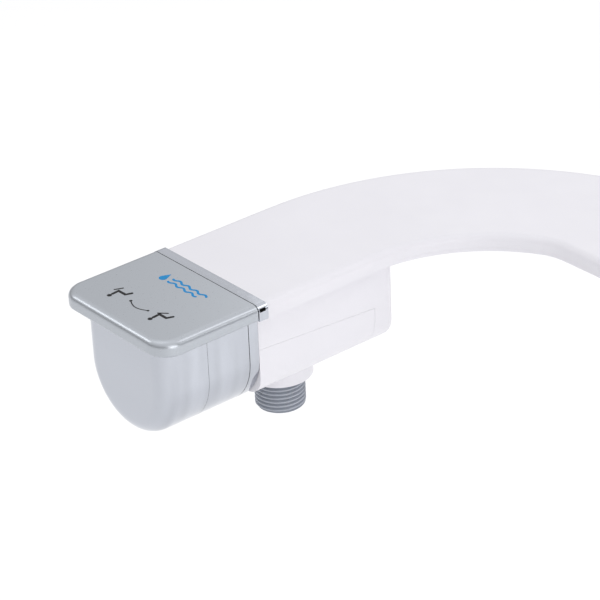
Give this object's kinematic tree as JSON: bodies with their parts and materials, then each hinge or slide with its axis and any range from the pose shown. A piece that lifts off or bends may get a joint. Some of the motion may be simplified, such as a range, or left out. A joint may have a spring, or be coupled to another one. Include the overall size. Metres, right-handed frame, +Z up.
{
  "type": "bidet attachment",
  "caption": "Non-electric bidet attachment with a curved side arm, turning chrome control knob, threaded water inlet, twin sliding nozzles, guard gate and slotted bolt discs.",
  "frame": {"origin": "midway between the two seat bolts, on the plane that rests on the bowl", "axes": "+X to the seated user's left, +Y to the tank, +Z up; the control arm is at -X"},
  "size_m": [0.3702, 0.2348, 0.0686],
  "materials": {
    "white_plastic": "satin",
    "satin_silver": "satin, silver-plated plastic",
    "bright_chrome": "polished, chrome-plated plastic",
    "grey_plastic": "satin",
    "inner_plastic": "matte",
    "brass": "machined",
    "ceramic": "lapped",
    "stainless": "satin",
    "rubber": "matte",
    "clear_hose": "satin"
  },
  "bodies": {
    "base": {"top_cover": "white_plastic", "bottom_cover": "white_plastic", "cover_screws": "stainless", "rubber_pads": "rubber", "valve_housing": "white_plastic", "valve_housing_cover": "white_plastic", "housing_end_cap": "white_plastic", "collar_trim": "bright_chrome", "fixed_disc": "ceramic", "valve_body": "inner_plastic", "valve_bonnet": "brass", "outlet_manifold": "inner_plastic", "inlet_fitting": "grey_plastic", "inlet_seal": "rubber", "inlet_filter": "stainless", "hose_front": "clear_hose", "hose_rear": "clear_hose", "hose_clips": "stainless", "nozzle_manifold": "inner_plastic", "nozzle_housing": "white_plastic", "gate_pin": "stainless", "nozzle_front_spring": "stainless", "nozzle_rear_spring": "stainless"},
    "knob": {"knob_plate": "satin_silver", "knob_shell_front": "bright_chrome", "knob_shell_rear": "bright_chrome", "knob_carrier": "inner_plastic", "knob_screw": "stainless", "valve_spindle": "brass", "spindle_seals": "rubber", "rotor_disc": "ceramic"},
    "nozzle_front": {"nozzle_front_tube": "white_plastic", "nozzle_front_seal": "rubber", "nozzle_front_tip": "stainless"},
    "nozzle_rear": {"nozzle_rear_tube": "white_plastic", "nozzle_rear_seal": "rubber", "nozzle_rear_tip": "stainless"},
    "guard_gate": {"guard_gate": "white_plastic"},
    "bolt_disc_left": {"bolt_disc_left": "white_plastic"},
    "bolt_disc_right": {"bolt_disc_right": "white_plastic"}
  },
  "joints": [
    {"name": "knob_turn", "type": "hinge", "parent": "base", "child": "knob", "pos_m": [-0.22, -0.15635, -0.0179], "axis": [0, 1, 0], "range_deg": [-45, 45]},
    {"name": "nozzle_front_slide", "type": "slide", "parent": "base", "child": "nozzle_front", "axis": [0, -0.848, -0.5299], "range_m": [0, 0.04], "stiffness_N_per_m": 30, "springref_m": -0.01, "deforming": ["nozzle_front_spring"]},
    {"name": "nozzle_rear_slide", "type": "slide", "parent": "base", "child": "nozzle_rear", "axis": [0, -0.848, -0.5299], "range_m": [0, 0.04], "stiffness_N_per_m": 30, "springref_m": -0.01, "deforming": ["nozzle_rear_spring"]},
    {"name": "guard_gate_lift", "type": "hinge", "parent": "base", "child": "guard_gate", "pos_m": [0, -0.0732, -0.0052], "axis": [-1, 0, 0], "range_deg": [0, 85]},
    {"name": "bolt_disc_left_turn", "type": "hinge", "parent": "base", "child": "bolt_disc_left", "pos_m": [0.07, 0, 0], "axis": [0, 0, 1], "continuous": true},
    {"name": "bolt_disc_right_turn", "type": "hinge", "parent": "base", "child": "bolt_disc_right", "pos_m": [-0.07, 0, 0], "axis": [0, 0, 1], "continuous": true}
  ]
}
